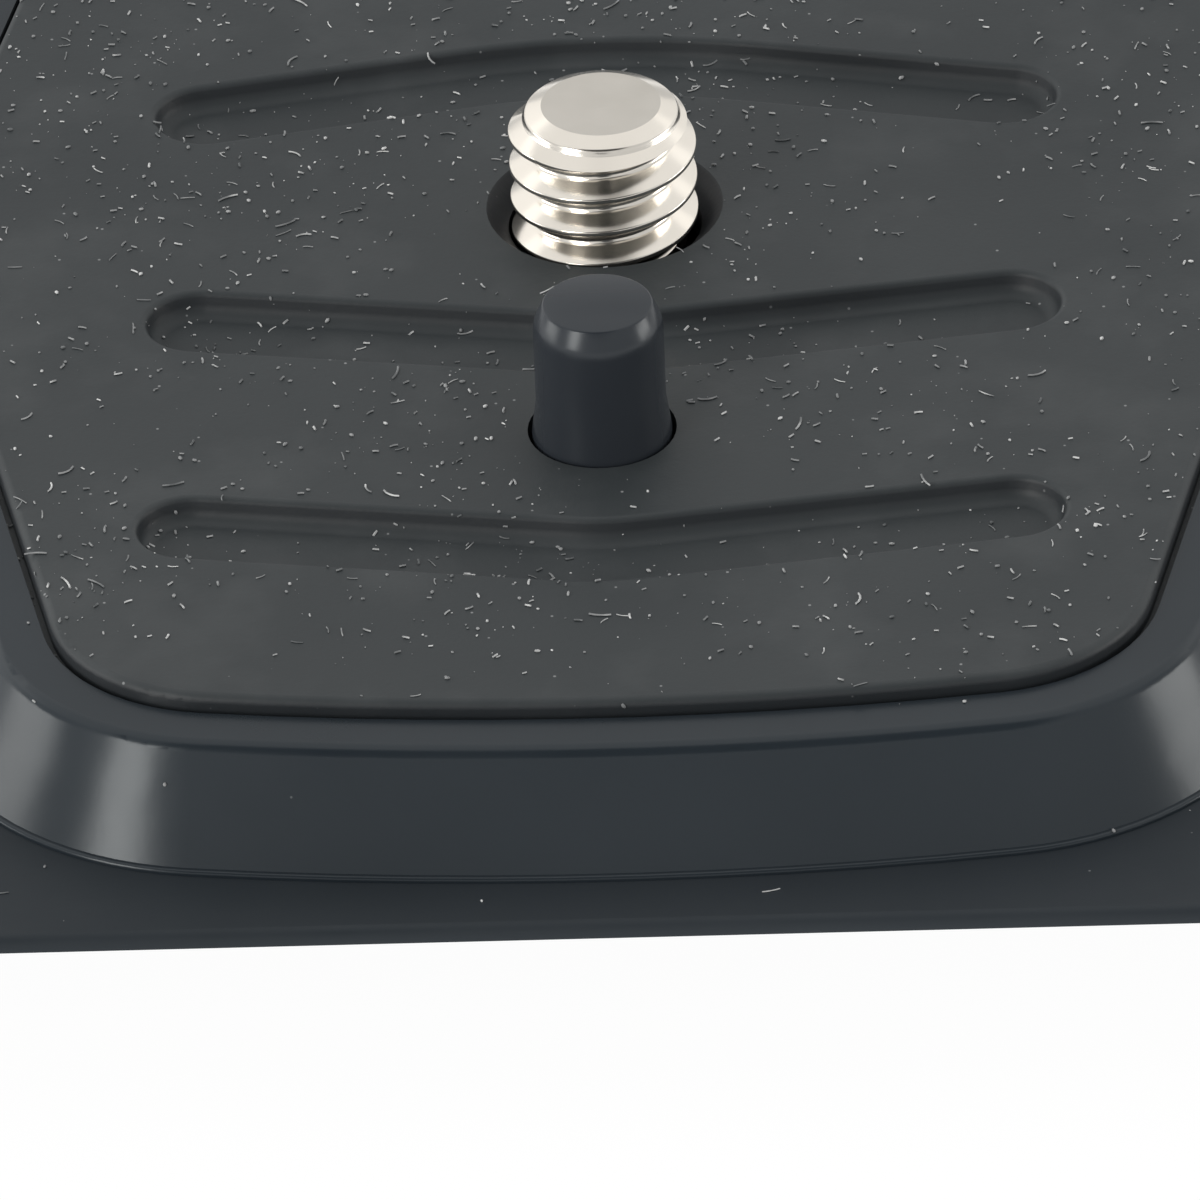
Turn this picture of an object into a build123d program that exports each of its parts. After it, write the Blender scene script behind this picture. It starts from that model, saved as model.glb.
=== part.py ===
import math
import os

from build123d import *

# Tripod quick release plate, in millimetres. The camera screw stands on the Z axis, the foot's
# underside is at Z 0, and the anti-twist pin is on the -Y side, the side that faces the viewer.

# Rubber pad: a six-sided outline with bowed ends
pad_half_width = 23.2
pad_end_half_width = 17.2
pad_half_length = 30.5
pad_bow_radius = 93.0
pad_corner_radius = 6.0
pad_waist_radius = 14.0
pad_thickness = 2.0
pad_edge_round = 0.3
pad_skirt_height = 1.2
pad_skirt_fit = 0.05

# Grip grooves in the pad, bent slots with a flat floor; those behind the screw bend more softly
groove_half_length = 15.35
groove_width = 3.6
groove_depth = 0.8
groove_draft = 15.0
groove_floor_round = 0.55
groove_edge_round = 0.25
front_groove_rise = 2.1
front_bend_radius = 9.0
rear_groove_rise = 2.97
rear_bend_radius = 22.0
rear_apex_shift = 0.62
inner_groove_apex = 8.8
outer_groove_apex = 21.5

# Top shell: a drafted collar round a pocket for the pad
pocket_gap = 0.25
rim_width = 1.7
pocket_depth = 1.5
collar_height = 3.8
collar_draft = 28.6
collar_edge_round = 0.6
lip_width = 0.12
lip_height = 0.18
lip_round = 0.12
shell_wall = 2.0
shell_floor = 1.5

# Base plate: a flange under the collar and a dovetail foot under the flange
ledge_width = 2.65
flange_side_margin = 1.7
flange_thickness = 0.9
flange_corner_radius = 4.0
flange_edge_round = 0.45
flange_bevel_height = 0.4
flange_bevel_depth = 0.9
foot_depth = 5.3
foot_half_width = 21.0
foot_setback = 9.6
foot_flank_angle = 30.0
foot_corner_radius = 1.5
foot_wall = 2.2
foot_floor = 1.8
rib_thickness = 1.4

# Camera screw, quarter inch with a coarse thread, its clip and its folding ring
thread_radius = 3.175
thread_above_pad = 3.98
thread_lead = 0.1
thread_run_out = 1.6
tip_chamfer = 0.65
blank_radius = 2.9
neck_radius = 2.5
clip_groove_radius = 2.0
screw_hole_gap = 0.125
pad_hole_gap = 0.1
pad_dish_radius = 4.0
pad_dish_depth = 0.75
screw_float = 0.7
float_gap = 0.05
head_radius = 4.6
head_height = 2.8
head_chamfer = 0.4
coin_slot_width = 1.6
coin_slot_depth = 1.0
web_thickness = 1.5
web_wall = 1.5
recess_radius = 9.5
recess_wall = 1.4

clip_radius = 4.65
clip_thickness = 0.7
clip_band = 1.5
clip_lug_width = 1.6
clip_mouth = 4.2
clip_well_gap = 0.25
clip_fit = 0.03
clip_side_play = 0.02

ring_wire_radius = 0.75
ring_half_width = 5.5
ring_reach = 7.5
ring_heel_radius = 1.2
ring_tip_radius = 5.0
ring_pivot_depth = 1.8
ring_pivot_fit = 0.05
ring_pivot_end_gap = 0.3

# Anti-twist pin with its spring, fourteen millimetres from the camera screw
pin_distance = 14.0
pin_radius = 2.17
pin_shaft_radius = 2.33
pin_taper_length = 1.2
pin_above_pad = 4.9
pin_tip_radius = 1.62
pin_tip_height = 0.75
pin_pad_gap = 0.15
pin_guide_fit = 0.06
pin_collar_radius = 3.0
pin_collar_height = 1.0
pin_bore_radius = 1.45
pin_crown = 2.4
cup_fit = 0.1
cup_wall = 1.3
cup_floor = 1.0
spring_wire_radius = 0.18
spring_side_gap = 0.2
spring_turns = 11

# Self-tapping screws that hold the base plate to the top shell
fixing_half_spacing_x = 12.6
fixing_half_spacing_y = 21.5
fixing_radius = 1.4
fixing_length = 4.4
fixing_head_radius = 2.5
fixing_head_height = 1.5
fixing_head_round = 0.5
fixing_thread_fit = 0.02
fixing_hole_gap = 0.2
fixing_head_gap = 0.2
fixing_seat = 3.6
fixing_tip_gap = 0.2
post_wall = 0.7

# Levels
ledge_level = foot_depth + flange_thickness
rim_level = ledge_level + collar_height
floor_level = rim_level - pocket_depth
ceiling_level = floor_level - shell_floor
pad_level = floor_level + pad_thickness
well_level = ceiling_level
web_level = well_level - web_thickness
head_level = web_level - screw_float - float_gap
head_bottom = head_level - head_height
ring_level = head_bottom + head_height / 2
foot_floor_level = ledge_level - foot_floor
screw_top = pad_level + thread_above_pad
pin_top = pad_level + pin_above_pad
pin_bottom = ceiling_level - pin_collar_height
pin_bore_top = pin_top - pin_crown

# Shared outlines and radii
rim_margin = pocket_gap + rim_width
collar_margin = rim_margin + collar_height * math.tan(math.radians(collar_draft))
cavity_margin = collar_margin - shell_wall
flange_half_length = pad_half_length + collar_margin + ledge_width
flange_half_width = pad_half_width + collar_margin + flange_side_margin
foot_half_length = flange_half_length - foot_setback
foot_flank = foot_depth * math.tan(math.radians(foot_flank_angle))
screw_hole_radius = thread_radius + screw_hole_gap
well_radius = clip_radius + clip_well_gap
cup_radius = pin_collar_radius + cup_fit
spring_radius = pin_bore_radius - spring_side_gap - spring_wire_radius
post_radius = fixing_head_radius + fixing_head_gap + post_wall
fixing_points = [
    (x, y)
    for x in (-fixing_half_spacing_x, fixing_half_spacing_x)
    for y in (-fixing_half_spacing_y, fixing_half_spacing_y)
]
above = (Align.CENTER, Align.CENTER, Align.MIN)


def disc(radius, low, high, x=0.0, y=0.0):
    return Pos(x, y, low) * Cylinder(radius, high - low, align=above)


def slab(width, length, low, high, x=0.0, y=0.0):
    return Pos(x, y, low) * Box(width, length, high - low, align=above)


def pad_outline(margin=0.0):
    corner_y = pad_half_length - pad_bow_radius + math.sqrt(pad_bow_radius**2 - pad_end_half_width**2)
    right = [(pad_end_half_width, -corner_y), (pad_half_width, 0), (pad_end_half_width, corner_y)]
    left = [(-x, -y) for x, y in right]
    edges = [
        Polyline(*right),
        ThreePointArc(right[2], (0, pad_half_length), left[0]),
        Polyline(*left),
        ThreePointArc(left[2], (0, -pad_half_length), right[0]),
    ]
    outline = make_face([edge for part in edges for edge in part.edges()])
    outline = fillet(outline.vertices().filter_by(lambda v: abs(v.Y) < corner_y / 2), pad_waist_radius)
    outline = fillet(outline.vertices().filter_by(lambda v: abs(v.Y) > corner_y / 2), pad_corner_radius)
    return offset(outline, margin) if margin else outline


def groove_cutter(apex, rise, bend_radius):
    # Two straight arms with a round bend between them, drafted walls and a rounded floor edge
    reach = groove_half_length - groove_width / 2
    end_y = apex - math.copysign(rise, apex)
    path = FilletPolyline((-reach, end_y), (0, apex), (reach, end_y), radius=bend_radius)
    cutter = extrude(SlotArc(path, groove_width), -groove_depth, taper=groove_draft)
    cutter = fillet(cutter.faces().sort_by(Axis.Z)[0].edges(), groove_floor_round)
    return Pos(0, 0, pad_level) * cutter


def make_rubber_pad():
    pad = Pos(0, 0, floor_level) * extrude(pad_outline(), pad_thickness)
    pad = fillet(pad.faces().sort_by(Axis.Z)[-1].edges(), pad_edge_round)
    for apex in (inner_groove_apex, outer_groove_apex):
        pad -= groove_cutter(-apex, front_groove_rise, front_bend_radius)
        pad -= groove_cutter(apex + rear_apex_shift, rear_groove_rise, rear_bend_radius)
    groove_rims = pad.faces().sort_by(Axis.Z)[-1].inner_wires()
    pad = fillet([edge for rim in groove_rims for edge in rim.edges()], groove_edge_round)
    pad += Pos(0, 0, floor_level) * extrude(pad_outline(pocket_gap - pad_skirt_fit), pad_skirt_height)
    pad_hole_radius = thread_radius + pad_hole_gap
    dish = Cone(pad_hole_radius, pad_dish_radius, pad_dish_depth, align=above)
    pad -= disc(pad_hole_radius, floor_level, pad_level)
    pad -= Pos(0, 0, pad_level - pad_dish_depth) * dish
    pad -= disc(pin_shaft_radius + pin_pad_gap, floor_level, pad_level, y=-pin_distance)
    return pad


def make_top_shell():
    collar = Pos(0, 0, ledge_level) * extrude(pad_outline(collar_margin), collar_height, taper=collar_draft)
    collar = fillet(collar.faces().sort_by(Axis.Z)[-1].edges(), collar_edge_round)
    lip = Pos(0, 0, ledge_level) * extrude(pad_outline(collar_margin + lip_width), lip_height)
    collar += fillet(lip.faces().sort_by(Axis.Z)[-1].edges(), lip_round)
    collar -= Pos(0, 0, floor_level) * extrude(pad_outline(pocket_gap), pocket_depth)
    collar -= Pos(0, 0, ledge_level) * extrude(pad_outline(cavity_margin), ceiling_level - ledge_level)
    collar += disc(well_radius + web_wall, web_level, ceiling_level)
    for x, y in fixing_points:
        collar += disc(post_radius, ledge_level, ceiling_level, x, y)
        collar -= disc(fixing_radius + fixing_thread_fit, ledge_level,
                       fixing_seat + fixing_length + fixing_tip_gap, x, y)
    collar -= disc(well_radius, well_level, floor_level)
    collar -= disc(screw_hole_radius, web_level, well_level)
    collar -= disc(pin_shaft_radius + pin_guide_fit, ceiling_level, floor_level, y=-pin_distance)
    return collar


def foot_prism(inset, low, high):
    # The dovetail foot's section, wider at the bottom, run along Y
    slope = foot_flank / foot_depth
    half = [foot_half_width - inset - slope * z for z in (low, high)]
    section = Polygon((-half[0], low), (half[0], low), (half[1], high), (-half[1], high), align=None)
    length = 2 * (foot_half_length - inset)
    return extrude(Plane.XZ.offset(-length / 2) * section, length)


def foot_ribs():
    ribs = slab(rib_thickness, 2 * foot_half_length, 0, foot_floor_level)
    ribs += slab(2 * foot_half_width, rib_thickness, 0, foot_floor_level)
    for side in (-1, 1):
        ribs += slab(rib_thickness, 2 * foot_half_length, 0, foot_floor_level, x=side * fixing_half_spacing_x)
        ribs += slab(2 * foot_half_width, rib_thickness, 0, foot_floor_level, y=side * fixing_half_spacing_y)
    ribs += disc(recess_radius + recess_wall, 0, foot_floor_level)
    ribs += disc(cup_radius + cup_wall, 0, foot_floor_level, y=-pin_distance)
    for x, y in fixing_points:
        ribs += disc(post_radius, 0, foot_floor_level, x, y)
    return ribs


def make_base_plate():
    flange = RectangleRounded(2 * flange_half_width, 2 * flange_half_length, flange_corner_radius)
    base = Pos(0, 0, foot_depth) * extrude(flange, flange_thickness)
    base = fillet(base.faces().sort_by(Axis.Z)[-1].edges(), flange_edge_round)
    under = base.faces().sort_by(Axis.Z)[0]
    base = chamfer(under.edges(), flange_bevel_depth, flange_bevel_height, reference=under)
    foot = foot_prism(0, 0, foot_depth)
    corners = foot.edges().filter_by(lambda e: abs(e.center().X) > foot_half_width / 2
                                     and abs(e.center().Y) > foot_half_length - foot_wall
                                     and e.length < 2 * foot_depth)
    base += fillet(corners, foot_corner_radius)
    base -= foot_prism(foot_wall, 0, foot_floor_level) - foot_ribs()
    base += disc(recess_radius + recess_wall, ledge_level, ceiling_level)
    base += disc(cup_radius + cup_wall, ledge_level, ceiling_level, y=-pin_distance)
    base -= disc(recess_radius, 0, ceiling_level)
    base -= disc(cup_radius, cup_floor, ceiling_level, y=-pin_distance)
    for x, y in fixing_points:
        base -= disc(fixing_head_radius + fixing_head_gap, 0, fixing_seat, x, y)
        base -= disc(fixing_radius + fixing_hole_gap, fixing_seat, ledge_level, x, y)
    return base


def make_camera_screw():
    thread_start = pad_level + thread_lead
    groove_low = well_level - clip_side_play
    groove_high = well_level + clip_thickness + clip_side_play
    head = disc(head_radius, head_bottom, head_level)
    head = chamfer(head.edges().filter_by(GeomType.CIRCLE), head_chamfer)
    head -= slab(coin_slot_width, 2 * head_radius, head_bottom, head_bottom + coin_slot_depth)
    for side in (-1, 1):
        pivot = Cylinder(ring_wire_radius + ring_pivot_fit, ring_pivot_depth + ring_pivot_end_gap)
        middle = head_radius - (ring_pivot_depth + ring_pivot_end_gap) / 2
        head -= Pos(side * middle, 0, ring_level) * Rot(0, 90, 0) * pivot
    tip = disc(thread_radius, thread_start, screw_top)
    tip = chamfer(tip.edges().filter_by(GeomType.CIRCLE).sort_by(Axis.Z)[-1], tip_chamfer)
    blank_start = thread_start - thread_run_out
    shank = disc(neck_radius, head_level, groove_low)
    shank += disc(clip_groove_radius, groove_low, groove_high)
    shank += disc(neck_radius, groove_high, blank_start)
    shank += disc(blank_radius, blank_start, thread_start)
    return head + shank + tip


def make_retaining_clip():
    # An open ring with three lugs that sit in the screw's groove
    band = Circle(clip_radius) - Circle(clip_radius - clip_band)
    lug_inner = clip_groove_radius + clip_fit
    lug_length = clip_radius - clip_band / 2 - lug_inner
    for angle in (0, 90, 180):
        band += Rot(0, 0, angle) * Pos(lug_inner + lug_length / 2, 0) * Rectangle(lug_length, clip_lug_width)
    band -= Circle(lug_inner)
    band -= Pos(0, -clip_radius) * Rectangle(clip_mouth, 2 * clip_radius)
    return Pos(0, 0, well_level) * extrude(band, clip_thickness)


def make_ring_handle():
    heel = head_radius - ring_pivot_depth
    points = [(-heel, 0), (-ring_half_width, 0), (-ring_half_width, ring_reach)]
    points += [(-x, y) for x, y in reversed(points)]
    radii = [ring_heel_radius, ring_tip_radius, ring_tip_radius, ring_heel_radius]
    path = FilletPolyline(*points, radius=radii)
    wire = sweep(Plane(path @ 0, z_dir=path % 0) * Circle(ring_wire_radius), path=path)
    return Pos(0, 0, ring_level) * wire


def make_anti_twist_pin():
    tip_level = pin_top - pin_tip_height
    pin = disc(pin_radius, pin_bottom, tip_level)
    pin += Pos(0, 0, tip_level) * Cone(pin_radius, pin_tip_radius, pin_tip_height, align=above)
    pin += disc(pin_shaft_radius, pin_bottom, pad_level)
    pin += Pos(0, 0, pad_level) * Cone(pin_shaft_radius, pin_radius, pin_taper_length, align=above)
    pin += disc(pin_collar_radius, pin_bottom, ceiling_level)
    pin -= disc(pin_bore_radius, pin_bottom, pin_bore_top)
    return Pos(0, -pin_distance, 0) * pin


def make_pin_spring():
    low = cup_floor + spring_wire_radius
    height = pin_bore_top - spring_wire_radius - low
    path = Helix(height / spring_turns, height, spring_radius)
    coil = sweep(Plane(path @ 0, z_dir=path % 0) * Circle(spring_wire_radius), path=path, is_frenet=True)
    return Pos(0, -pin_distance, low) * coil


def make_fixing_screws():
    head = disc(fixing_head_radius, fixing_seat - fixing_head_height, fixing_seat)
    head = fillet(head.edges().filter_by(GeomType.CIRCLE).sort_by(Axis.Z)[0], fixing_head_round)
    screw = head + disc(fixing_radius, fixing_seat, fixing_seat + fixing_length)
    return Compound([Pos(x, y, 0) * screw for x, y in fixing_points])


nodes = {
    "rubber_pad": make_rubber_pad,
    "top_shell": make_top_shell,
    "base_plate": make_base_plate,
    "camera_screw": make_camera_screw,
    "retaining_clip": make_retaining_clip,
    "ring_handle": make_ring_handle,
    "anti_twist_pin": make_anti_twist_pin,
    "pin_spring": make_pin_spring,
    "fixing_screws": make_fixing_screws,
}

os.makedirs("parts", exist_ok=True)
for name, make in nodes.items():
    export_step(make(), f"parts/{name}.step")
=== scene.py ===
import math
import random

import bmesh
import bpy
from mathutils import Matrix, Vector, noise
from mathutils.bvhtree import BVHTree


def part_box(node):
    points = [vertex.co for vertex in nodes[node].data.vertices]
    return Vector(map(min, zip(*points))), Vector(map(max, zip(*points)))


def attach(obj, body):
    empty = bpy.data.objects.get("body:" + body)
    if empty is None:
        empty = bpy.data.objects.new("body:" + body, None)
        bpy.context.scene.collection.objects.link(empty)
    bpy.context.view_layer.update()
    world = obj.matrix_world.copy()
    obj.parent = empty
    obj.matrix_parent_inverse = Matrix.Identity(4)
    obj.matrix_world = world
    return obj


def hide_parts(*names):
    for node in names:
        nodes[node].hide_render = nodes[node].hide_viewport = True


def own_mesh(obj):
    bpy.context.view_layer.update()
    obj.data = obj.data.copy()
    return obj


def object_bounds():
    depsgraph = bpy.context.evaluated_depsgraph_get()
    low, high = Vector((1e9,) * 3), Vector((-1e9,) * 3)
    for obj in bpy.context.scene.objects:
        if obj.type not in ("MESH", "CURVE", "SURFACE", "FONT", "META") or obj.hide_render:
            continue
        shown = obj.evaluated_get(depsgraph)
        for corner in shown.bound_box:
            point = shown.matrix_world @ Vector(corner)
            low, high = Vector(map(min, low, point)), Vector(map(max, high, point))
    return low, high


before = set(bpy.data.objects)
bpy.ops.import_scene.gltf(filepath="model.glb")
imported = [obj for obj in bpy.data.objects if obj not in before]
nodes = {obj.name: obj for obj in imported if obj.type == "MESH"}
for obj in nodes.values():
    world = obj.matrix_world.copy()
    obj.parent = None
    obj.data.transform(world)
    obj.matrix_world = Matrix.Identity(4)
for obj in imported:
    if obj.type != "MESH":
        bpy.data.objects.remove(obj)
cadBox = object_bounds()
scene = bpy.context.scene
mm = 0.001
weldGap = 0.001 * mm  # points closer than this are one
seamGap = 0.0005 * mm
print("frame loaded,", len(nodes), "nodes")


# node and mesh helpers

def addNode(tree, kind, inputs=None, **settings):
    node = tree.nodes.new(kind)
    for name, value in settings.items():
        setattr(node, name, value)
    for name, value in (inputs or {}).items():
        if isinstance(value, bpy.types.NodeSocket):
            tree.links.new(value, node.inputs[name])
        else:
            node.inputs[name].default_value = value
    return node


def startMaterial(name, **sockets):
    material = bpy.data.materials.new(name)
    material.use_nodes = True
    tree = material.node_tree
    shader = tree.nodes["Principled BSDF"]
    for socket, value in sockets.items():
        shader.inputs[socket.replace("_", " ")].default_value = value
    coords = addNode(tree, "ShaderNodeTexCoord").outputs["Object"]
    return material, tree, shader, coords


def noiseOf(tree, coords, scale, detail=3.0):
    inputs = {"Vector": coords, "Scale": scale, "Detail": detail, "Roughness": 0.55}
    return addNode(tree, "ShaderNodeTexNoise", inputs).outputs["Fac"]


def ramp(tree, factor, *stops):
    node = addNode(tree, "ShaderNodeValToRGB", {"Fac": factor})
    elements = node.color_ramp.elements
    elements.remove(elements[1])
    elements[0].position = stops[0][0]
    elements[0].color = (*stops[0][1], 1)
    for position, colour in stops[1:]:
        elements.new(position).color = (*colour, 1)
    return node.outputs["Color"]


def levels(tree, factor, low, high, start, end):
    inputs = {"Value": factor, "From Min": low, "From Max": high, "To Min": start, "To Max": end}
    return addNode(tree, "ShaderNodeMapRange", inputs).outputs["Result"]


def mixColours(tree, factor, first, second):
    node = addNode(tree, "ShaderNodeMix", data_type="RGBA")
    for index, value in ((0, factor), (6, first), (7, second)):
        if isinstance(value, bpy.types.NodeSocket):
            tree.links.new(value, node.inputs[index])
        else:
            node.inputs[index].default_value = value if index == 0 else (*value, 1)
    return node.outputs[2]


def bump(tree, shader, height, strength, distance):
    inputs = {"Height": height, "Strength": strength, "Distance": distance * mm}
    tree.links.new(addNode(tree, "ShaderNodeBump", inputs).outputs["Normal"], shader.inputs["Normal"])


def specks(tree, coords, cell, size, share):
    # small round spots in some of the cells of a grid, cell and size in mm
    node = addNode(tree, "ShaderNodeTexVoronoi", {"Vector": coords, "Scale": 1 / (cell * mm)})
    spot = levels(tree, node.outputs["Distance"], size / cell, 0.6 * size / cell, 0, 1)
    chance = addNode(tree, "ShaderNodeSeparateColor", {"Color": node.outputs["Color"]}).outputs["Red"]
    chosen = levels(tree, chance, 1 - share, 1 - share + 0.02, 0, 1)
    node = addNode(tree, "ShaderNodeMath", operation="MULTIPLY")
    tree.links.new(spot, node.inputs[0])
    tree.links.new(chosen, node.inputs[1])
    return node.outputs["Value"]


def newPiece(name, bm, material, body, smoothAngle=35):
    bmesh.ops.recalc_face_normals(bm, faces=bm.faces[:])
    loose = sum(1 for edge in bm.edges if not edge.is_manifold)
    mesh = bpy.data.meshes.new(name)
    bm.to_mesh(mesh)
    bm.free()
    if mesh.has_custom_normals:  # a solid's copy gets its shading from its merged faces
        mesh.attributes.remove(mesh.attributes["custom_normal"])
    piece = bpy.data.objects.new(name, mesh)
    scene.collection.objects.link(piece)
    finishPiece(piece, material, body, smoothAngle)
    print(f"{name}: {len(mesh.polygons)} faces, {loose} open edges")
    return piece


def finishPiece(piece, material, body, smoothAngle):
    mesh = piece.data
    mesh.materials.clear()
    mesh.materials.append(material)
    mesh.polygons.foreach_set("use_smooth", [True] * len(mesh.polygons))
    mesh.set_sharp_from_angle(angle=math.radians(smoothAngle))
    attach(piece, body)


def carve(piece, cutter):
    # takes the cutter's solid out of the piece and keeps the result as its mesh
    mesh = bpy.data.meshes.new("cutter")
    bmesh.ops.recalc_face_normals(cutter, faces=cutter.faces[:])
    cutter.to_mesh(mesh)
    cutter.free()
    tool = bpy.data.objects.new("cutter", mesh)
    scene.collection.objects.link(tool)
    step = piece.modifiers.new("carve", "BOOLEAN")
    step.operation = "DIFFERENCE"
    step.solver = "EXACT"
    step.object = tool
    evaluated = piece.evaluated_get(bpy.context.evaluated_depsgraph_get())
    piece.data = bpy.data.meshes.new_from_object(evaluated)
    piece.modifiers.clear()
    bpy.data.objects.remove(tool)
    print(f"{piece.name} carved: {len(piece.data.polygons)} faces")


def addBox(bm, low, high):
    size = [b - a for a, b in zip(low, high)]
    middle = [(a + b) / 2 for a, b in zip(low, high)]
    place = Matrix.Translation(Vector(middle) * mm) @ Matrix.Diagonal((*(s * mm for s in size), 1))
    bmesh.ops.create_cube(bm, size=1, matrix=place)


def lathe(bm, points, steps, centre=(0, 0)):
    # a closed solid from (radius, height) points in mm that start and end on the axis
    x, y = centre
    verts = [bm.verts.new(((x + r) * mm, y * mm, z * mm)) for r, z in points]
    edges = [bm.edges.new(pair) for pair in zip(verts, verts[1:])]
    bmesh.ops.spin(bm, geom=verts + edges, cent=(x * mm, y * mm, 0), axis=(0, 0, 1), dvec=(0, 0, 0),
                   angle=2 * math.pi, steps=steps, use_merge=True)
    bmesh.ops.remove_doubles(bm, verts=bm.verts[:], dist=weldGap)


def arc(radius, centre, start, end, count):
    angles = [math.radians(start + (end - start) * i / count) for i in range(count + 1)]
    return [(centre[0] + radius * math.cos(a), centre[1] + radius * math.sin(a)) for a in angles]


# materials

rubberLook = {"dark": (0.030, 0.0365, 0.040), "pale": (0.036, 0.043, 0.0465), "dust": (0.27, 0.28, 0.285),
              "paintedShade": (0.010, 0.012, 0.016), "dish": 4.0}  # painted shade: the steep sides and the dish round the screw are darkened in colour for the shade they lie in


def rubberMaterial():
    material, tree, shader, coords = startMaterial("gripRubber", Specular_IOR_Level=0.42)
    patches = noiseOf(tree, coords, 85, 5)
    colour = ramp(tree, patches, (0.3, rubberLook["dark"]), (0.7, rubberLook["pale"]))
    film = levels(tree, noiseOf(tree, coords, 210, 4), 0.5, 0.8, 0.0, 0.09)
    colour = mixColours(tree, film, colour, rubberLook["dust"])
    colour = mixColours(tree, specks(tree, coords, 0.7, 0.06, 0.3), colour, rubberLook["dust"])
    flat = addNode(tree, "ShaderNodeVectorMath", {0: coords, 1: (1, 1, 0)}, operation="MULTIPLY").outputs["Vector"]
    radius = addNode(tree, "ShaderNodeVectorMath", {0: flat}, operation="LENGTH").outputs["Value"]
    # painted shade: the rubber inside the dish round the screw is darkened in colour for the shade in that hollow
    dish = levels(tree, radius, (rubberLook["dish"] + 0.02) * mm, (rubberLook["dish"] - 0.08) * mm, 0, 0.85)
    colour = mixColours(tree, dish, colour, rubberLook["paintedShade"])
    # painted shade: the steep sides, which face away from the light, are darkened in colour
    upward = addNode(tree, "ShaderNodeAttribute", attribute_name="upward").outputs["Fac"]
    colour = mixColours(tree, levels(tree, upward, 0.75, 0.25, 0, 0.55), colour, rubberLook["paintedShade"])
    tree.links.new(colour, shader.inputs["Base Color"])
    tree.links.new(levels(tree, patches, 0.3, 0.7, 0.56, 0.46), shader.inputs["Roughness"])
    bump(tree, shader, noiseOf(tree, coords, 5200, 2), 0.25, 0.03)
    return material


plasticLooks = {  # colours, roughness range, grain and gloss of each moulding
    "shellPlastic": {"dark": (0.016, 0.022, 0.028), "pale": (0.022, 0.029, 0.036), "rough": (0.21, 0.265),
                     "grain": 0.10, "gloss": 0.42},
    "basePlastic": {"dark": (0.0165, 0.022, 0.0275), "pale": (0.0225, 0.0285, 0.035), "rough": (0.48, 0.60),
                    "grain": 0.14, "gloss": 0.35},
    "pinPlastic": {"dark": (0.0235, 0.0285, 0.0355), "pale": (0.032, 0.037, 0.0445), "rough": (0.21, 0.265),
                   "grain": 0.04, "gloss": 0.42},
}
plasticTint = (0.93, 0.98, 1.0, 1)
plasticDust = (0.16, 0.17, 0.175)


def plasticMaterial(name):
    look = plasticLooks[name]
    material, tree, shader, coords = startMaterial(name, Specular_IOR_Level=look["gloss"], Specular_Tint=plasticTint)
    patches = noiseOf(tree, coords, 70, 4)
    colour = ramp(tree, patches, (0.3, look["dark"]), (0.7, look["pale"]))
    colour = mixColours(tree, specks(tree, coords, 1.6, 0.05, 0.3), colour, plasticDust)
    tree.links.new(colour, shader.inputs["Base Color"])
    smudges = noiseOf(tree, coords, 260, 4)
    tree.links.new(levels(tree, smudges, 0.3, 0.7, *look["rough"]), shader.inputs["Roughness"])
    bump(tree, shader, noiseOf(tree, coords, 3600, 2), look["grain"], 0.02)
    return material


def metalMaterial(name, dark, pale, lowRoughness, highRoughness):
    material, tree, shader, coords = startMaterial(name, Metallic=1.0)
    patches = noiseOf(tree, coords, 420, 4)
    tree.links.new(ramp(tree, patches, (0.3, dark), (0.7, pale)), shader.inputs["Base Color"])
    tree.links.new(levels(tree, patches, 0.3, 0.7, lowRoughness, highRoughness), shader.inputs["Roughness"])
    return material


def lintMaterial():
    material, tree, shader, coords = startMaterial("paleLint", Roughness=0.95, Specular_IOR_Level=0.2)
    colour = ramp(tree, noiseOf(tree, coords, 900, 2), (0.32, (0.15, 0.16, 0.165)),
                  (0.5, (0.32, 0.33, 0.335)), (0.66, (0.72, 0.73, 0.73)))
    tree.links.new(colour, shader.inputs["Base Color"])
    return material


gripRubber = rubberMaterial()
shellPlastic, basePlastic, pinPlastic = (plasticMaterial(name) for name in plasticLooks)
nickelSteel = metalMaterial("nickelSteel", (0.83, 0.785, 0.71), (0.89, 0.845, 0.77), 0.15, 0.22)
springSteel = metalMaterial("springSteel", (0.42, 0.42, 0.42), (0.55, 0.55, 0.54), 0.25, 0.35)
blackSteel = metalMaterial("blackSteel", (0.09, 0.09, 0.095), (0.14, 0.14, 0.145), 0.3, 0.42)
paleLint = lintMaterial()

for node, material in (("retaining_clip", blackSteel), ("ring_handle", nickelSteel)):
    nodes[node].data.materials.clear()
    nodes[node].data.materials.append(material)
print("materials made")


# pad, shell and base: the solids themselves, with their seams merged so that light runs on across them

mouldings = {  # node, material, slot and the angle from which an edge is sharp
    "rubberPad": ("rubber_pad", gripRubber, "pad_rubber", 40),
    "topShell": ("top_shell", shellPlastic, "black_plastic", 30),
    "basePlate": ("base_plate", basePlastic, "black_plastic", 30),
}


def makeMoulding(name, node, material, slot, smoothAngle):
    bm = bmesh.new()
    bm.from_mesh(nodes[node].data)
    bmesh.ops.remove_doubles(bm, verts=bm.verts[:], dist=seamGap)
    piece = newPiece(name, bm, material, "plate", smoothAngle)
    upward = piece.data.attributes.new("upward", "FLOAT", "CORNER")  # how far each spot faces up; the rubber's painted shade on its steep sides is drawn from it
    upward.data.foreach_set("value", [normal.vector.z for normal in piece.data.corner_normals])
    weigh = piece.modifiers.new("weigh", "WEIGHTED_NORMAL")  # keeps the flats flat beside the rounds
    weigh.keep_sharp = True
    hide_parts(node)
    return piece


moulded = {name: makeMoulding(name, *settings) for name, settings in mouldings.items()}


# camera screw: coarse thread, neck, clip groove and slotted head

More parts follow.
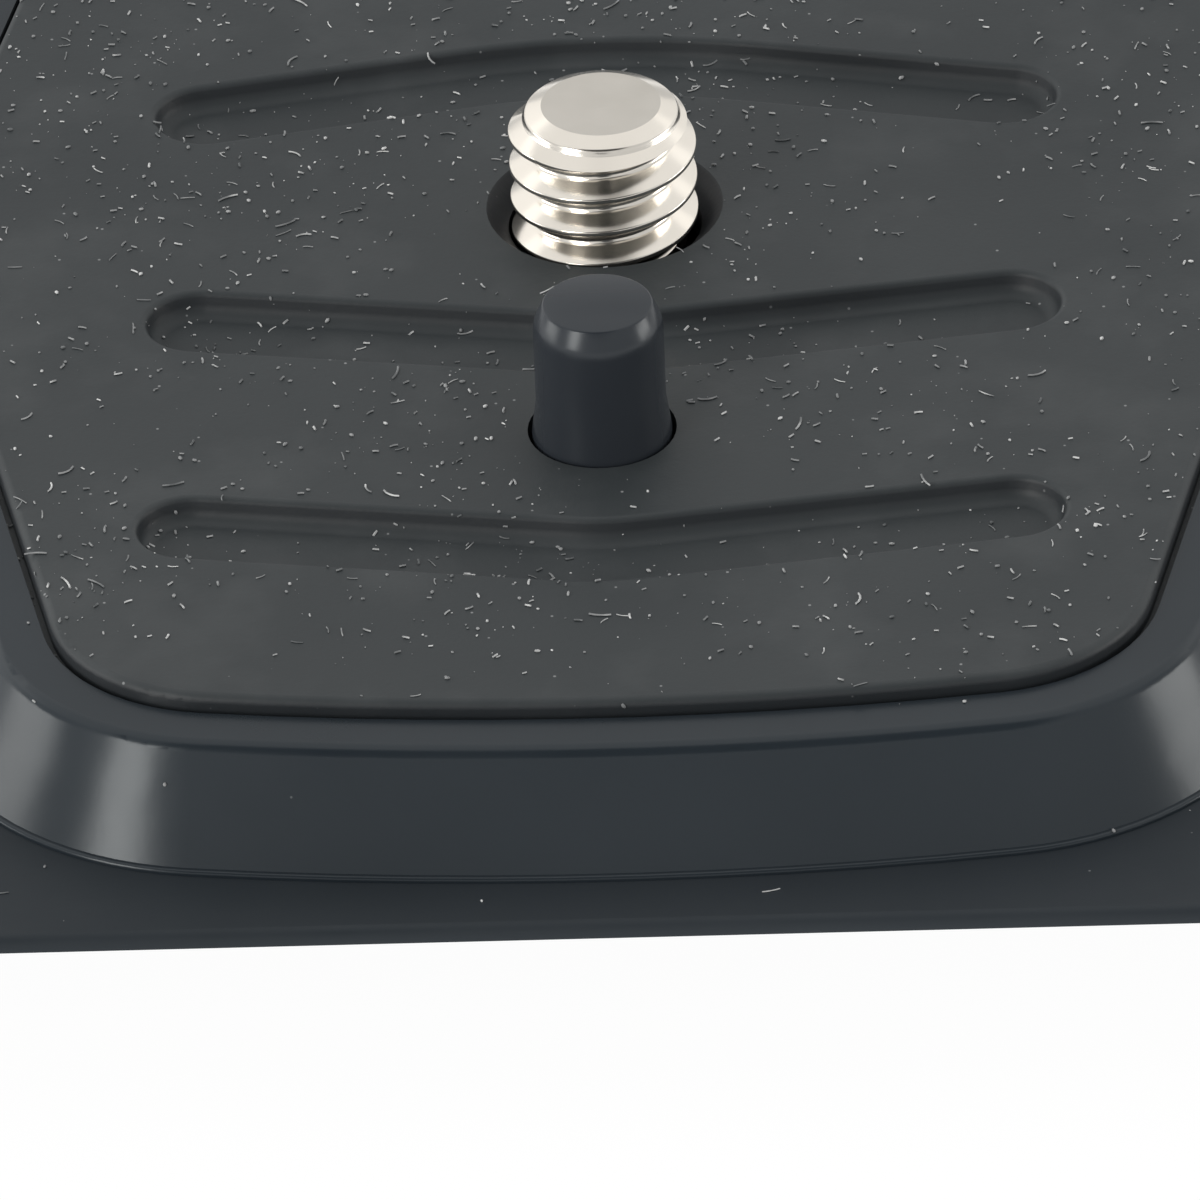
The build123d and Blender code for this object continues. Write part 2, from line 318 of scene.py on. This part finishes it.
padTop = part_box("rubber_pad")[1].z / mm
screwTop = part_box("camera_screw")[1].z / mm
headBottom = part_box("camera_screw")[0].z / mm
clipLow, clipHigh = (corner.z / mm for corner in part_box("retaining_clip"))

screwSizes = {
    "pitch": 1.27, "crestRadius": 3.17, "crestFlat": 0.08, "crestRound": 0.07, "rootRound": 0.24,
    "frontCrest": 0.78,  # how far a crest stands above the pad at the front
    "stepsPerTurn": 96, "roundSteps": 4,
    "tip": [(1.77, 0.11), (2.52, -0.22), (2.565, -0.245), (2.595, -0.28), (2.615, -0.325), (2.63, -0.39),
            (2.67, -0.46), (3.27, -0.81)],
    "tipOuter": 4.2, "pointRadius": 2.67, "pointLength": 0.5, "pointFade": 0.45,
    "threadBottom": 9.0, "runOutSlope": 1.6, "neckRadius": 2.5, "grooveRadius": 2.0, "groovePlay": 0.02,
    "headRadius": 4.6, "headHeight": 2.8, "headChamfer": 0.4,
    "slotWidth": 1.6, "slotDepth": 1.0, "pivotRadius": 0.8, "pivotDepth": 2.1,
    "past": 1.0,  # how far the cutters run out of the head
}


def threadProfile(sizes):
    # one pitch of the thread from the middle of a root to the next, (radius, height)
    half, crest, rounding = sizes["crestFlat"] / 2, sizes["crestRadius"], sizes["crestRound"]
    root, count = sizes["rootRound"], sizes["roundSteps"]
    bottom = sizes["pitch"] / 2
    flankHeight = bottom - half - (root + rounding) * math.sin(math.radians(60))  # between the two rounds
    rootRadius = crest - flankHeight / math.tan(math.radians(30)) - (root + rounding) / 2
    turns = [math.radians(60 * i / count) for i in range(count + 1)]
    rise = [(rootRadius + root * (1 - math.cos(a)), -bottom + root * math.sin(a)) for a in turns]
    rise += [(crest - rounding * (1 - math.cos(a)), -half - rounding * math.sin(a)) for a in reversed(turns)]
    return rise + [(r, -z) for r, z in reversed(rise)]


def tipCutter(bm, sizes):
    # a ring that takes the corner off the thread's top end
    outer = sizes["tipOuter"]
    points = [*sizes["tip"], (outer, sizes["tip"][-1][1]), (outer, sizes["tip"][0][1])]
    verts = [bm.verts.new((r * mm, 0, (screwTop + z) * mm)) for r, z in points]
    edges = [bm.edges.new(pair) for pair in zip(verts, verts[1:] + verts[:1])]
    bmesh.ops.spin(bm, geom=verts + edges, cent=(0, 0, 0), axis=(0, 0, 1), dvec=(0, 0, 0),
                   angle=2 * math.pi, steps=sizes["stepsPerTurn"], use_merge=True)


def cutLevel(bm, level, up):
    bmesh.ops.bisect_plane(bm, geom=bm.verts[:] + bm.edges[:] + bm.faces[:], dist=seamGap,
                           plane_co=(0, 0, level * mm), plane_no=(0, 0, up), clear_outer=True)


def rimEdges(bm, level):
    return [edge for edge in bm.edges if edge.is_boundary
            and all(abs(vert.co.z - level * mm) < weldGap for vert in edge.verts)]


def setRadius(vert, radius, level):
    direction = Vector((vert.co.x, vert.co.y, 0)).normalized()
    vert.co = direction * radius * mm + Vector((0, 0, level * mm))


def makeCameraScrew():
    sizes = screwSizes
    pitch, steps = sizes["pitch"], sizes["stepsPerTurn"]
    turns = math.ceil((screwTop - sizes["threadBottom"]) / pitch) + 3
    start = padTop + sizes["frontCrest"] - 0.75 * pitch  # a crest at the profile's side of the helix
    start -= pitch * math.ceil((start - sizes["threadBottom"]) / pitch + 1)
    bm = bmesh.new()
    verts = [bm.verts.new((r * mm, 0, (start + z) * mm)) for r, z in threadProfile(sizes)]
    edges = [bm.edges.new(pair) for pair in zip(verts, verts[1:])]
    bmesh.ops.spin(bm, geom=verts + edges, cent=(0, 0, 0), axis=(0, 0, 1), dvec=(0, 0, pitch * mm / steps),
                   angle=2 * math.pi * turns, steps=steps * turns)
    bmesh.ops.remove_doubles(bm, verts=bm.verts[:], dist=weldGap)
    cutLevel(bm, screwTop, 1)
    cutLevel(bm, sizes["threadBottom"], -1)
    for vert in bm.verts:
        level = vert.co.z / mm
        radius = math.hypot(vert.co.x, vert.co.y) / mm
        runOut = sizes["neckRadius"] + sizes["runOutSlope"] * (level - sizes["threadBottom"])
        radius = min(radius, max(runOut, sizes["neckRadius"]))
        below = screwTop - sizes["pointLength"] - level  # the thread's groove fades out under the plain point
        point = sizes["pointRadius"] - max(below, 0) / sizes["pointFade"]
        setRadius(vert, max(radius, point), level)
    for vert in {vert for edge in rimEdges(bm, sizes["threadBottom"]) for vert in edge.verts}:
        setRadius(vert, sizes["neckRadius"], sizes["threadBottom"])
    bmesh.ops.edgeloop_fill(bm, edges=rimEdges(bm, screwTop))
    headTop = headBottom + sizes["headHeight"]
    play, neck, groove = sizes["groovePlay"], sizes["neckRadius"], sizes["grooveRadius"]
    head, chamfer = sizes["headRadius"], sizes["headChamfer"]
    lower = [(neck, clipHigh + play), (groove, clipHigh + play), (groove, clipLow - play), (neck, clipLow - play),
             (neck, headTop), (head - chamfer, headTop), (head, headTop - chamfer),
             (head, headBottom + chamfer), (head - chamfer, headBottom)]
    rim = rimEdges(bm, sizes["threadBottom"])
    for radius, level in lower:
        made = bmesh.ops.extrude_edge_only(bm, edges=rim)["geom"]
        for vert in made:
            if isinstance(vert, bmesh.types.BMVert):
                setRadius(vert, radius, level)
        rim = [edge for edge in made if isinstance(edge, bmesh.types.BMEdge)]
    bmesh.ops.edgeloop_fill(bm, edges=rim)
    screw = newPiece("cameraScrew", bm, nickelSteel, "screw", 21.5)
    cutter = bmesh.new()
    tipCutter(cutter, sizes)
    half, past = sizes["slotWidth"] / 2, sizes["past"]
    addBox(cutter, (-half, -head - past, headBottom - past), (half, head + past, headBottom + sizes["slotDepth"]))
    pivot, depth = sizes["pivotRadius"] * mm, (sizes["pivotDepth"] + 2 * past) * mm
    for side in (-1, 1):
        middle = Vector((side * (head + past - sizes["pivotDepth"] / 2), 0, (headBottom + headTop) / 2)) * mm
        place = Matrix.Translation(middle) @ Matrix.Rotation(math.pi / 2, 4, "Y")
        bmesh.ops.create_cone(cutter, cap_ends=True, segments=24, radius1=pivot, radius2=pivot, depth=depth,
                              matrix=place)
    carve(screw, cutter)
    finishPiece(screw, nickelSteel, "screw", 21.5)
    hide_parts("camera_screw")


makeCameraScrew()


# anti-twist pin and its spring

pinLow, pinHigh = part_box("anti_twist_pin")
pinY = (pinLow.y + pinHigh.y) / 2 / mm
springLow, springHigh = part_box("pin_spring")

pinSizes = {
    "tip": [(1.78, 0), (1.815, -0.012), (1.845, -0.05), (2.09, -0.58), (2.125, -0.70), (2.15, -0.84)],
    "tipEnd": 1.0, "bodyRadius": 2.165, "taper": 1.2, "shaftRadius": 2.33,
    "collarRadius": 3.0, "collarHeight": 1.0, "boreRadius": 1.45, "crown": 2.4, "steps": 72,
}


def makeAntiTwistPin():
    sizes = pinSizes
    low, high = pinLow.z / mm, pinHigh.z / mm
    body = sizes["bodyRadius"]
    outline = [(0, high)] + [(r, high + z) for r, z in sizes["tip"]]
    outline += [(body, high - sizes["tipEnd"]), (body, padTop + sizes["taper"]), (sizes["shaftRadius"], padTop),
                (sizes["shaftRadius"], low + sizes["collarHeight"]),
                (sizes["collarRadius"], low + sizes["collarHeight"]), (sizes["collarRadius"], low),
                (sizes["boreRadius"], low), (sizes["boreRadius"], high - sizes["crown"]), (0, high - sizes["crown"])]
    bm = bmesh.new()
    lathe(bm, outline, sizes["steps"], (0, pinY))
    pin = newPiece("antiTwistPin", bm, pinPlastic, "pin")
    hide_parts("anti_twist_pin")


springSizes = {"wireRadius": 0.18, "turns": 11, "stepsPerTurn": 20, "wireSides": 8, "kept": 0.590}


def makePinSpring():
    sizes = springSizes
    wire = sizes["wireRadius"] * mm
    coil = (springHigh.x - springLow.x) / 2 - wire
    rise = springHigh.z - springLow.z - 2 * wire
    steps = sizes["turns"] * sizes["stepsPerTurn"]
    bm = bmesh.new()
    place = Matrix.Translation((coil, pinY * mm, springLow.z + wire)) @ Matrix.Rotation(math.pi / 2, 4, "X")
    bmesh.ops.create_circle(bm, cap_ends=True, segments=sizes["wireSides"], radius=wire, matrix=place)
    bmesh.ops.spin(bm, geom=bm.verts[:] + bm.edges[:] + bm.faces[:], cent=(0, pinY * mm, 0), axis=(0, 0, 1),
                   dvec=(0, 0, rise / steps), angle=2 * math.pi * sizes["turns"], steps=steps)
    spring = newPiece("pinSpring", bm, springSteel, "plate", 60)
    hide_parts("pin_spring")
    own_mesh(spring)


makeAntiTwistPin()
makePinSpring()


# self-tapping screws in the foot, pan heads with a cross recess

fixingLow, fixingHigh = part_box("fixing_screws")

fixingSizes = {
    "headRadius": 2.5, "headHeight": 1.5, "headRound": 0.5, "shankRadius": 1.4, "pointBevel": 0.4, "steps": 40,
    "recessHalf": 1.45, "recessWidth": 0.62, "recessDepth": 0.9,
}


def makeFixingScrews():
    sizes = fixingSizes
    low, high = fixingLow.z / mm, fixingHigh.z / mm
    seat = low + sizes["headHeight"]
    radius, rounding, shank = sizes["headRadius"], sizes["headRound"], sizes["shankRadius"]
    outline = [(0, low)] + arc(rounding, (radius - rounding, low + rounding), -90, 0, 5)
    bevel = sizes["pointBevel"]
    outline += [(radius, seat), (shank, seat), (shank, high - bevel), (shank - bevel, high), (0, high)]
    bm = bmesh.new()
    bars = bmesh.new(), bmesh.new()  # the recess's two bars cross, so each is carved by itself
    reach, half, deep = sizes["recessHalf"], sizes["recessWidth"] / 2, low + sizes["recessDepth"]
    for x in (fixingLow.x / mm + radius, fixingHigh.x / mm - radius):
        for y in (fixingLow.y / mm + radius, fixingHigh.y / mm - radius):
            lathe(bm, outline, sizes["steps"], (x, y))
            addBox(bars[0], (x - reach, y - half, low - 1), (x + reach, y + half, deep))
            addBox(bars[1], (x - half, y - reach, low - 1), (x + half, y + reach, deep))
    screws = newPiece("fixingScrews", bm, blackSteel, "plate")
    for cutter in bars:
        carve(screws, cutter)
    finishPiece(screws, blackSteel, "plate", 35)
    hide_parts("fixing_screws")


makeFixingScrews()


# lint and dust that cling to the rubber

lintSizes = {
    "seed": 7, "kinds": 10, "padFibres": 1300, "shellFibres": 13, "padSpecks": 2200, "shellSpecks": 70,
    "length": (0.15, 0.74), "halfThickness": (0.021, 0.048), "bend": (5, 75), "speck": (0.014, 0.070),
    "edgeMargin": 1.0, "screwClear": 4.0, "pinClear": 3.15,  # no fibre reaches what moves
    "share": 0.5, "rearShare": 0.12, "leftShare": 0.16, "driftShare": 0.7, "driftScale": 120,
    "leastUpward": 0.25, "shortness": 0.5, "batch": 90,
}


def landing(trees, x, y):
    # the highest upward surface under this point
    hits = [tree.ray_cast(Vector((x, y, 1)), Vector((0, 0, -1))) for tree in trees]
    hits = [hit for hit in hits if hit[0] is not None and hit[1].z > lintSizes["leastUpward"]]
    return max(hits, key=lambda hit: hit[0].z, default=None)


def settle(place, normal, turn, lift):
    # a frame whose Z axis is the surface's normal
    tilt = Vector((0, 0, 1)).rotation_difference(normal).to_matrix().to_4x4()
    return Matrix.Translation(place + normal * lift) @ tilt @ Matrix.Rotation(turn, 4, "Z")


def fibreTemplate(length, thickness, bend):
    bm = bmesh.new()
    radius = length / bend
    place = Matrix.Translation((radius, 0, 0)) @ Matrix.Rotation(math.pi / 2, 4, "X")
    bmesh.ops.create_circle(bm, cap_ends=True, segments=4, radius=thickness, matrix=place)
    bmesh.ops.spin(bm, geom=bm.verts[:] + bm.edges[:] + bm.faces[:], cent=(0, 0, 0), axis=(0, 0, 1),
                   angle=bend, steps=4)
    bmesh.ops.translate(bm, verts=bm.verts[:], vec=(-radius, 0, 0))
    mesh = bpy.data.meshes.new("fibre")
    bm.to_mesh(mesh)
    bm.free()
    return mesh


def clingTo(dice, trees, covers, low, high):
    # an uncovered spot on these surfaces, more likely towards the left rear and in drifts
    sizes = lintSizes
    while True:
        x, y = dice.uniform(low.x, high.x), dice.uniform(low.y, high.y)
        drift = sizes["share"] + sizes["rearShare"] * y / high.y - sizes["leftShare"] * x / high.x
        drift += sizes["driftShare"] * noise.noise(Vector((x, y, 0)) * sizes["driftScale"])
        clear = math.hypot(x, y) > sizes["screwClear"] * mm
        clear = clear and math.hypot(x, y - pinY * mm) > sizes["pinClear"] * mm
        clear = clear and not landing(covers, x, y)
        hit = landing(trees, x, y) if clear and dice.random() < drift else None
        if hit:
            return hit


def makeLint():
    sizes = lintSizes
    dice = random.Random(sizes["seed"])
    graph = bpy.context.evaluated_depsgraph_get()
    padTree, shellTree, baseTree = (BVHTree.FromObject(moulded[name], graph) for name in mouldings)
    fibres = []
    for kind in range(sizes["kinds"]):
        length = sizes["length"][0] + (sizes["length"][1] - sizes["length"][0]) * kind / (sizes["kinds"] - 1)
        thickness = dice.uniform(*sizes["halfThickness"]) * mm
        fibres.append((fibreTemplate(length * mm, thickness, math.radians(dice.uniform(*sizes["bend"]))), thickness))
    low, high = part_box("base_plate")
    margin = Vector((sizes["edgeMargin"], sizes["edgeMargin"], 0)) * mm
    low, high = low + margin, high - margin
    jobs = []
    for trees, covers, threads, dots in (
            ((padTree,), (), sizes["padFibres"], sizes["padSpecks"]),
            ((shellTree, baseTree), (padTree,), sizes["shellFibres"], sizes["shellSpecks"])):
        jobs += [(clingTo(dice, trees, covers, low, high), True) for _ in range(threads)]
        jobs += [(clingTo(dice, trees, covers, low, high), False) for _ in range(dots)]
    bm = bmesh.new()
    for first in range(0, len(jobs), sizes["batch"]):  # small batches keep the operators quick
        part = bmesh.new()
        for (spot, normal, _, _), isFibre in jobs[first:first + sizes["batch"]]:
            if isFibre:
                mesh, lift = fibres[min(int(dice.expovariate(sizes["shortness"])), sizes["kinds"] - 1)]
                have = len(part.verts)
                part.from_mesh(mesh)
                part.verts.ensure_lookup_table()
                place = settle(spot, normal, dice.uniform(0, 2 * math.pi), lift)
                bmesh.ops.transform(part, matrix=place, verts=part.verts[have:])
            else:
                size = sizes["speck"][0] + (sizes["speck"][1] - sizes["speck"][0]) * dice.random() ** 2
                stretch = Matrix.Diagonal((dice.uniform(1, 1.8), 1, 0.8, 1))
                place = settle(spot, normal, dice.uniform(0, 2 * math.pi), size * 0.6 * mm) @ stretch
                bmesh.ops.create_icosphere(part, subdivisions=1, radius=size * mm, matrix=place)
        mesh = bpy.data.meshes.new("lintBatch")
        part.to_mesh(mesh)
        part.free()
        bm.from_mesh(mesh)
    newPiece("padLint", bm, paleLint, "plate", 60)


makeLint()


# floor, light and camera

floorLook = {"colour": 0.86, "glow": 1.02, "glowShare": 0.95, "halfSize": 3}


def makeFloor():
    material = bpy.data.materials.new("paleFloor")
    material.use_nodes = True
    tree = material.node_tree
    tree.nodes.clear()
    rays = addNode(tree, "ShaderNodeLightPath").outputs
    seen = addNode(tree, "ShaderNodeMath", operation="MAXIMUM")
    tree.links.new(rays["Is Camera Ray"], seen.inputs[0])
    other = addNode(tree, "ShaderNodeMath", operation="MAXIMUM")
    tree.links.new(rays["Is Glossy Ray"], other.inputs[0])
    tree.links.new(rays["Is Transmission Ray"], other.inputs[1])
    tree.links.new(other.outputs["Value"], seen.inputs[1])
    share = addNode(tree, "ShaderNodeMath", operation="MULTIPLY")
    tree.links.new(seen.outputs["Value"], share.inputs[0])
    share.inputs[1].default_value = floorLook["glowShare"]
    matte = addNode(tree, "ShaderNodeBsdfDiffuse", {"Color": (*[floorLook["colour"]] * 3, 1)})
    glow = addNode(tree, "ShaderNodeEmission", {"Color": (1, 1, 1, 1), "Strength": floorLook["glow"]})
    mix = addNode(tree, "ShaderNodeMixShader", {"Fac": share.outputs["Value"]})
    tree.links.new(matte.outputs["BSDF"], mix.inputs[1])
    tree.links.new(glow.outputs["Emission"], mix.inputs[2])
    output = addNode(tree, "ShaderNodeOutputMaterial")
    tree.links.new(mix.outputs["Shader"], output.inputs["Surface"])
    bm = bmesh.new()
    bmesh.ops.create_grid(bm, x_segments=1, y_segments=1, size=floorLook["halfSize"])
    mesh = bpy.data.meshes.new("floor")
    bm.to_mesh(mesh)
    bm.free()
    mesh.materials.append(material)
    floor = bpy.data.objects.new("floor", mesh)
    scene.collection.objects.link(floor)
    floor.location.z = cadBox[0][2]


softBoxes = {  # place, width and height in metres, power in watts
    "topBox": ((0.0, 0.35, 1.0), 2.4, 1.2, 2.4),
    "leftFrontBox": ((-0.520, -0.546, 0.31), 0.25, 0.50, 2.55),
    "leftBox": ((-0.80, 0.03, 0.12), 0.4, 0.22, 1.0),
    "rightBox": ((0.80, 0.02, 0.12), 0.4, 0.22, 1.15),
    "backLeftBox": ((-0.62, 0.60, 0.40), 0.9, 0.6, 0.8),
    "backRightBox": ((0.62, 0.60, 0.40), 0.9, 0.6, 0.5),
}
lampTint = (1.0, 0.975, 0.945)
worldLevels = {"front": 0.67, "back": 0.60,
               "card": 0.05, "cardWay": (0, -0.574, 0.819), "cardEdge": (0.86, 0.925)}  # a dark card over the camera


def makeLights():
    for name, (place, width, height, power) in softBoxes.items():
        light = bpy.data.lights.new(name, "AREA")
        light.shape = "RECTANGLE"
        light.size, light.size_y = width, height
        light.energy = power
        light.color = lampTint
        lamp = bpy.data.objects.new(name, light)
        lamp.location = place
        lamp.rotation_euler = (-Vector(place)).to_track_quat("-Z", "Y").to_euler()
        scene.collection.objects.link(lamp)
    world = bpy.data.worlds.new("studio")
    world.use_nodes = True
    tree = world.node_tree
    ground = tree.nodes["Background"]
    ground.inputs["Color"].default_value = (1, 1, 1, 1)
    way = addNode(tree, "ShaderNodeTexCoord").outputs["Generated"]
    depth = addNode(tree, "ShaderNodeSeparateXYZ", {"Vector": way}).outputs["Y"]
    room = levels(tree, depth, -1, 1, worldLevels["front"], worldLevels["back"])
    towards = addNode(tree, "ShaderNodeVectorMath", {0: way, 1: worldLevels["cardWay"]}, operation="DOT_PRODUCT")
    room = levels(tree, towards.outputs["Value"], *worldLevels["cardEdge"], room, worldLevels["card"])
    camera = addNode(tree, "ShaderNodeLightPath").outputs["Is Camera Ray"]
    tree.links.new(levels(tree, camera, 0, 1, room, 1.0), ground.inputs["Strength"])
    scene.world = world


cameraSizes = {  # millimetres and degrees
    "eye": (16.373, -596.232, 382.209), "aim": (-0.505, -7.174, -0.745), "roll": -2.370, "lens": 625.06,
    "sensor": 36,
}


def makeCamera():
    sizes = cameraSizes
    eye, aim = (Vector(sizes[key]) * mm for key in ("eye", "aim"))
    look = (aim - eye).normalized()
    side = look.cross(Vector((0, 0, 1))).normalized()
    turn = Matrix.Rotation(math.radians(sizes["roll"]), 3, -look)
    side = turn @ side
    up = side.cross(look)
    data = bpy.data.cameras.new("camera")
    data.lens = sizes["lens"]
    data.sensor_width = sizes["sensor"]
    data.clip_start, data.clip_end = 0.01, 20
    camera = bpy.data.objects.new("camera", data)
    camera.matrix_world = Matrix((side, up, -look)).transposed().to_4x4()
    camera.location = eye
    scene.collection.objects.link(camera)
    scene.camera = camera


makeFloor()
makeLights()
makeCamera()
scene.view_settings.view_transform = "Standard"
print("floor, lights and camera set")
